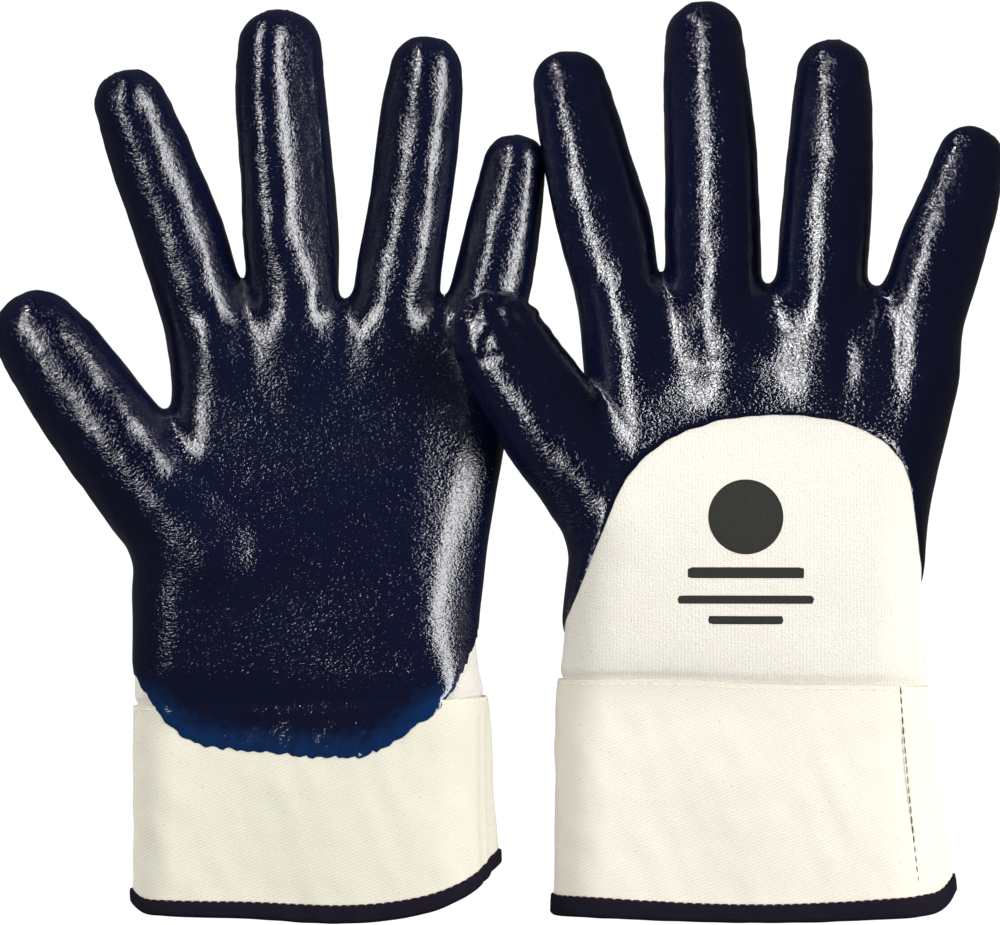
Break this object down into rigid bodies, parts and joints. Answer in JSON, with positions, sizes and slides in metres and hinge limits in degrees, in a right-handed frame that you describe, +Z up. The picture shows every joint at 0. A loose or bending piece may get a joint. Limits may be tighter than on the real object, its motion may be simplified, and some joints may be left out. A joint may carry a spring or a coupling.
{
  "type": "pair of dipped work gloves",
  "caption": "Pair of cotton-lined work gloves with a glossy navy dipped coating, open knitted back and wide bound canvas cuffs, lying flat side by side.",
  "frame": {"origin": "on the table, under the middle of the pair", "axes": "+Z up, +Y from the cuffs to the finger tips, +X from the left glove to the right glove"},
  "size_m": [0.2992, 0.2742, 0.0513],
  "materials": {
    "nitrile": "glossy dipped navy skin over a knit",
    "knit_cotton": "natural cotton jersey knit",
    "canvas": "natural twill canvas",
    "interlining": "stiff bonded fleece",
    "binding_tape": "dark navy cotton tape",
    "print_ink": "matt black ink printed on knit",
    "dark_thread": "dark green-brown sewing thread",
    "cotton_thread": "natural sewing thread",
    "brown_thread": "red-brown sewing thread"
  },
  "bodies": {
    "left_hand": {"left_palm_coating": "nitrile", "left_liner_palm_panel": "knit_cotton", "left_liner_back_panel": "knit_cotton", "left_back_print": "print_ink", "left_fold_zones": "nitrile"},
    "left_cuff": {"left_cuff_outer_canvas": "canvas", "left_cuff_interlining": "interlining", "left_cuff_inner_canvas": "canvas", "left_cuff_binding_tape": "binding_tape", "left_coating_cuff_lap": "nitrile", "left_side_seam_thread": "dark_thread", "left_wrist_seam_thread": "cotton_thread", "left_binding_thread": "brown_thread"},
    "left_thumb": {"left_thumb_coating": "nitrile", "left_thumb_liner": "knit_cotton"},
    "left_index": {"left_index_coating": "nitrile", "left_index_liner": "knit_cotton"},
    "left_middle": {"left_middle_coating": "nitrile", "left_middle_liner": "knit_cotton"},
    "left_ring": {"left_ring_coating": "nitrile", "left_ring_liner": "knit_cotton"},
    "left_little": {"left_little_coating": "nitrile", "left_little_liner": "knit_cotton"},
    "right_hand": {"right_palm_coating": "nitrile", "right_liner_palm_panel": "knit_cotton", "right_liner_back_panel": "knit_cotton", "right_back_print": "print_ink", "right_fold_zones": "nitrile"},
    "right_cuff": {"right_cuff_outer_canvas": "canvas", "right_cuff_interlining": "interlining", "right_cuff_inner_canvas": "canvas", "right_cuff_binding_tape": "binding_tape", "right_coating_cuff_lap": "nitrile", "right_side_seam_thread": "dark_thread", "right_wrist_seam_thread": "cotton_thread", "right_binding_thread": "brown_thread"},
    "right_thumb": {"right_thumb_coating": "nitrile", "right_thumb_liner": "knit_cotton"},
    "right_index": {"right_index_coating": "nitrile", "right_index_liner": "knit_cotton"},
    "right_middle": {"right_middle_coating": "nitrile", "right_middle_liner": "knit_cotton"},
    "right_ring": {"right_ring_coating": "nitrile", "right_ring_liner": "knit_cotton"},
    "right_little": {"right_little_coating": "nitrile", "right_little_liner": "knit_cotton"}
  },
  "joints": [
    {"name": "left_wrist_bend", "type": "hinge", "parent": "left_hand", "child": "left_cuff", "pos_m": [-0.0569, -0.07185, 0.01887], "axis": [-1, 0, 0], "range_deg": [-15, 20], "stiffness_Nm_per_rad": 0.6, "deforming": ["left_fold_zones"]},
    {"name": "left_thumb_bend", "type": "hinge", "parent": "left_hand", "child": "left_thumb", "pos_m": [-0.1214, 0.01395, 0.017], "axis": [0.016, -0.0248, -0.9996], "range_deg": [-8, 25], "stiffness_Nm_per_rad": 0.08, "deforming": ["left_fold_zones"]},
    {"name": "left_index_bend", "type": "hinge", "parent": "left_hand", "child": "left_index", "pos_m": [-0.0967, 0.07415, 0.0135], "axis": [0.9321, 0.3623, 0], "range_deg": [0, 75], "stiffness_Nm_per_rad": 0.08, "deforming": ["left_fold_zones"]},
    {"name": "left_middle_bend", "type": "hinge", "parent": "left_hand", "child": "left_middle", "pos_m": [-0.063, 0.08015, 0.014], "axis": [0.9982, 0.0595, 0], "range_deg": [0, 75], "stiffness_Nm_per_rad": 0.08, "deforming": ["left_fold_zones"]},
    {"name": "left_ring_bend", "type": "hinge", "parent": "left_hand", "child": "left_ring", "pos_m": [-0.0277, 0.07515, 0.0135], "axis": [0.9918, -0.1279, 0], "range_deg": [0, 75], "stiffness_Nm_per_rad": 0.08, "deforming": ["left_fold_zones"]},
    {"name": "left_little_bend", "type": "hinge", "parent": "left_hand", "child": "left_little", "pos_m": [-0.0009, 0.05955, 0.0124], "axis": [0.9858, -0.1678, 0], "range_deg": [0, 75], "stiffness_Nm_per_rad": 0.08, "deforming": ["left_fold_zones"]},
    {"name": "right_wrist_bend", "type": "hinge", "parent": "right_hand", "child": "right_cuff", "pos_m": [0.0719, -0.06785, 0.01988], "axis": [1, 0, 0], "range_deg": [-15, 20], "stiffness_Nm_per_rad": 0.6, "deforming": ["right_fold_zones"]},
    {"name": "right_thumb_bend", "type": "hinge", "parent": "right_hand", "child": "right_thumb", "pos_m": [0.0104, 0.01965, 0.0345], "axis": [-0.1285, 0.1809, -0.9751], "range_deg": [-8, 25], "stiffness_Nm_per_rad": 0.08, "deforming": ["right_fold_zones"]},
    {"name": "right_index_bend", "type": "hinge", "parent": "right_hand", "child": "right_index", "pos_m": [0.0278, 0.08115, 0.019], "axis": [-0.9778, -0.2095, 0], "range_deg": [0, 75], "stiffness_Nm_per_rad": 0.08, "deforming": ["right_fold_zones"]},
    {"name": "right_middle_bend", "type": "hinge", "parent": "right_hand", "child": "right_middle", "pos_m": [0.0626, 0.08415, 0.0195], "axis": [-0.9991, -0.0427, 0], "range_deg": [0, 75], "stiffness_Nm_per_rad": 0.08, "deforming": ["right_fold_zones"]},
    {"name": "right_ring_bend", "type": "hinge", "parent": "right_hand", "child": "right_ring", "pos_m": [0.0965, 0.07815, 0.019], "axis": [-0.998, 0.0632, 0], "range_deg": [0, 75], "stiffness_Nm_per_rad": 0.08, "deforming": ["right_fold_zones"]},
    {"name": "right_little_bend", "type": "hinge", "parent": "right_hand", "child": "right_little", "pos_m": [0.1316, 0.06615, 0.017], "axis": [-0.9467, 0.322, 0], "range_deg": [0, 75], "stiffness_Nm_per_rad": 0.08, "deforming": ["right_fold_zones"]},
    {"name": "right_glove_lift", "type": "slide", "parent": "left_hand", "child": "right_hand", "axis": [0, 0, 1], "range_m": [0, 0.15]}
  ]
}
